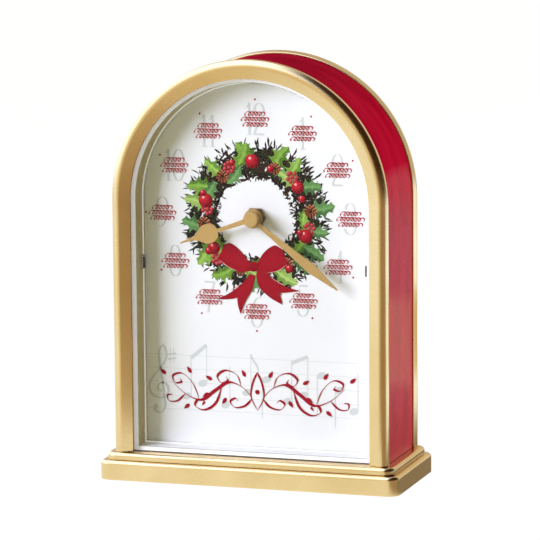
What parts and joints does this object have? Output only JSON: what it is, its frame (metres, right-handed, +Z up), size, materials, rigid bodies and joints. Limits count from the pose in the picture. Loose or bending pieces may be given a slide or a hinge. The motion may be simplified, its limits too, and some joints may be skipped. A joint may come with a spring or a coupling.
{
  "type": "tabletop clock",
  "caption": "Arched battery tabletop clock with a gilt bezel, red case, stepped base, printed white dial, geared hands, and a melody speaker and controls at the back.",
  "frame": {"origin": "on the floor under the middle of the base", "axes": "+X to the right seen from the front, +Y to the back, +Z up; the dial faces -Y"},
  "size_m": [0.168, 0.073, 0.229],
  "materials": {
    "gilt": "satin gilt",
    "red_lacquer": "glossy lacquer over wood",
    "white_plastic": "matte white",
    "dial_white": "printed enamel",
    "window_glass": "clear flat glass",
    "hand_gilt": "satin gilt",
    "brass": "plain",
    "steel": "plain",
    "black_plastic": "matte black",
    "nylon": "natural",
    "fibreboard": "bare fibreboard",
    "felt": "green felt",
    "rubber": "matte",
    "circuit": "solder mask",
    "cell_wrap": "plain printed sleeve",
    "cone_paper": "paper pulp cone"
  },
  "bodies": {
    "case": {"base_plinth": "gilt", "base_step": "gilt", "base_plate": "fibreboard", "base_screw_1": "steel", "base_screw_2": "steel", "base_screw_3": "steel", "base_screw_4": "steel", "foot_front_left": "felt", "foot_front_right": "felt", "foot_rear_left": "felt", "foot_rear_right": "felt", "front_bezel": "gilt", "glass": "window_glass", "side_band": "red_lacquer", "rear_ring": "gilt", "dial_surround": "white_plastic", "dial": "dial_white", "dial_board": "fibreboard", "dial_clip_left": "steel", "dial_clip_right": "steel", "mounting_nut": "brass", "rubber_washer": "rubber", "movement_front": "black_plastic", "bridge_plate": "nylon", "motor_unit": "black_plastic", "circuit_board": "circuit", "quartz_crystal": "steel", "cell_upper": "cell_wrap", "cell_lower": "cell_wrap", "contact_positive": "steel", "contact_negative": "steel", "contact_link": "steel", "movement_rear": "black_plastic", "speaker_frame": "steel", "speaker_magnet": "steel", "speaker_lead": "black_plastic", "back_panel": "black_plastic", "panel_screw_1": "steel", "panel_screw_2": "steel", "panel_screw_3": "steel", "panel_screw_4": "steel"},
    "minute_work": {"centre_arbor": "brass", "minute_hand": "hand_gilt", "hand_nut": "hand_gilt"},
    "hour_work": {"hour_wheel": "nylon", "hour_hand": "hand_gilt"},
    "intermediate_work": {"intermediate_wheel": "nylon"},
    "drive_work": {"drive_pinion": "brass"},
    "set_work": {"set_stem": "nylon", "set_knob": "black_plastic"},
    "volume": {"volume_wheel": "black_plastic"},
    "switch": {"melody_switch": "nylon"},
    "button": {"demo_button": "nylon"},
    "cover": {"battery_cover": "black_plastic"},
    "cone": {"speaker_cone": "cone_paper"}
  },
  "joints": [
    {"name": "minute_turn", "type": "hinge", "parent": "case", "child": "minute_work", "pos_m": [0, 0, 0.1432], "axis": [0, 1, 0], "continuous": true},
    {"name": "hour_turn", "type": "hinge", "parent": "case", "child": "hour_work", "pos_m": [0, 0, 0.1432], "axis": [0, 1, 0], "continuous": true},
    {"name": "intermediate_turn", "type": "hinge", "parent": "case", "child": "intermediate_work", "pos_m": [-0.01128, 0, 0.1473], "axis": [0, 1, 0], "continuous": true},
    {"name": "drive_turn", "type": "hinge", "parent": "case", "child": "drive_work", "pos_m": [0.01147, 0, 0.15123], "axis": [0, 1, 0], "continuous": true},
    {"name": "set_turn", "type": "hinge", "parent": "case", "child": "set_work", "pos_m": [-0.02356, 0, 0.1387], "axis": [0, 1, 0], "continuous": true},
    {"name": "volume_turn", "type": "hinge", "parent": "case", "child": "volume", "pos_m": [0.024, 0.0238, 0.1382], "axis": [1, 0, 0], "range_deg": [-135, 135]},
    {"name": "switch_slide", "type": "slide", "parent": "case", "child": "switch", "axis": [1, 0, 0], "range_m": [-0.003, 0.003]},
    {"name": "button_press", "type": "slide", "parent": "case", "child": "button", "axis": [0, -1, 0], "range_m": [0, 0.0012], "stiffness_N_per_m": 400, "springref_m": -0.0008},
    {"name": "cover_swing", "type": "hinge", "parent": "case", "child": "cover", "pos_m": [0, 0.0274, 0.0925], "axis": [-1, 0, 0], "range_deg": [0, 100]},
    {"name": "cone_move", "type": "slide", "parent": "case", "child": "cone", "axis": [0, 1, 0], "range_m": [-0.0004, 0.0004], "stiffness_N_per_m": 600}
  ],
  "couplings": [
    {"joint": "hour_turn", "follows": "minute_turn", "ratio": 0.083333},
    {"joint": "intermediate_turn", "follows": "minute_turn", "ratio": -0.33333},
    {"joint": "drive_turn", "follows": "minute_turn", "ratio": -6},
    {"joint": "set_turn", "follows": "minute_turn", "ratio": 0.5}
  ]
}
